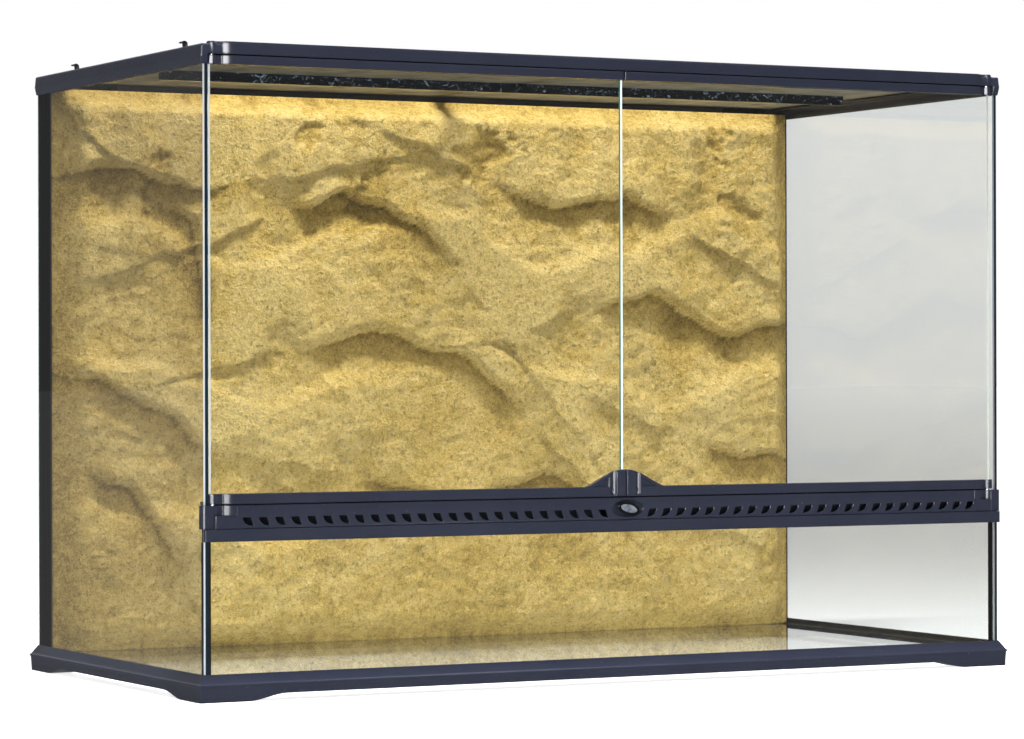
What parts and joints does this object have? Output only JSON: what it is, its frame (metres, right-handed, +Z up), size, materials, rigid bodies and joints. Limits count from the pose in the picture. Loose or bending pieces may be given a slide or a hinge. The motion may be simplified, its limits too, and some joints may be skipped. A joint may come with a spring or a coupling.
{
  "type": "reptile terrarium",
  "caption": "Front-opening glass terrarium with hinged doors over a vent strip, a turn lock, a lift-out screen cover with sliding latches, cable inlets and a moulded rock background",
  "frame": {"origin": "middle of the footprint, on the surface the terrarium stands on", "axes": "+X right as seen from the doors, +Y from the doors to the background, +Z up"},
  "size_m": [0.915, 0.452, 0.6222],
  "materials": {
    "frame_plastic": "satin black injection-moulded plastic with a cool cast",
    "panel_glass": "clear float glass with green edges",
    "black_silicone": "cured black silicone, satin",
    "coated_foam": "coated rigid foam moulded as layered sandstone, matte",
    "pin_steel": "bright steel",
    "gloss_trim": "glossy black plastic",
    "wire_screen": "fine woven steel screen"
  },
  "bodies": {
    "tank": {"base_frame": "frame_plastic", "floor_glass": "panel_glass", "left_glass": "panel_glass", "right_glass": "panel_glass", "rear_glass": "panel_glass", "lower_front_glass": "panel_glass", "floor_seals": "black_silicone", "corner_bonds": "black_silicone", "rock_background": "coated_foam", "vent_strip": "frame_plastic", "left_hinge_block": "frame_plastic", "right_hinge_block": "frame_plastic", "hinge_pins": "pin_steel", "top_frame": "frame_plastic"},
    "left_door": {"left_door_glass": "panel_glass", "left_lower_rail": "frame_plastic", "left_upper_rail": "frame_plastic"},
    "right_door": {"right_door_glass": "panel_glass", "right_lower_rail": "frame_plastic", "right_upper_rail": "frame_plastic"},
    "lock": {"lock_knob": "gloss_trim", "lock_plate": "pin_steel", "lock_cam": "gloss_trim"},
    "cover": {"cover_frame": "frame_plastic", "brace_bar": "gloss_trim", "left_screen": "wire_screen", "right_screen": "wire_screen"},
    "left_front_latch": {"left_front_latch": "gloss_trim"},
    "left_rear_latch": {"left_rear_latch": "gloss_trim"},
    "right_front_latch": {"right_front_latch": "gloss_trim"},
    "right_rear_latch": {"right_rear_latch": "gloss_trim"},
    "left_cable_gate": {"left_cable_gate": "gloss_trim"},
    "right_cable_gate": {"right_cable_gate": "gloss_trim"}
  },
  "joints": [
    {"name": "left_door_hinge", "type": "hinge", "parent": "tank", "child": "left_door", "pos_m": [-0.4396, -0.216, 0.395], "axis": [0, 0, -1], "range_deg": [0, 110]},
    {"name": "right_door_hinge", "type": "hinge", "parent": "tank", "child": "right_door", "pos_m": [0.4396, -0.216, 0.395], "axis": [0, 0, 1], "range_deg": [0, 110]},
    {"name": "lock_turn", "type": "hinge", "parent": "tank", "child": "lock", "pos_m": [0.0028, -0.2155, 0.173], "axis": [0, -1, 0], "range_deg": [0, 90]},
    {"name": "cover_lift", "type": "slide", "parent": "tank", "child": "cover", "axis": [0, 0, 1], "range_m": [0, 0.1]},
    {"name": "left_front_latch_slide", "type": "slide", "parent": "tank", "child": "left_front_latch", "axis": [1, 0, 0], "range_m": [0, 0.004]},
    {"name": "left_rear_latch_slide", "type": "slide", "parent": "tank", "child": "left_rear_latch", "axis": [1, 0, 0], "range_m": [0, 0.004]},
    {"name": "right_front_latch_slide", "type": "slide", "parent": "tank", "child": "right_front_latch", "axis": [-1, 0, 0], "range_m": [0, 0.004]},
    {"name": "right_rear_latch_slide", "type": "slide", "parent": "tank", "child": "right_rear_latch", "axis": [-1, 0, 0], "range_m": [0, 0.004]},
    {"name": "left_cable_gate_slide", "type": "slide", "parent": "tank", "child": "left_cable_gate", "axis": [1, 0, 0], "range_m": [0, 0.052]},
    {"name": "right_cable_gate_slide", "type": "slide", "parent": "tank", "child": "right_cable_gate", "axis": [-1, 0, 0], "range_m": [0, 0.052]}
  ]
}
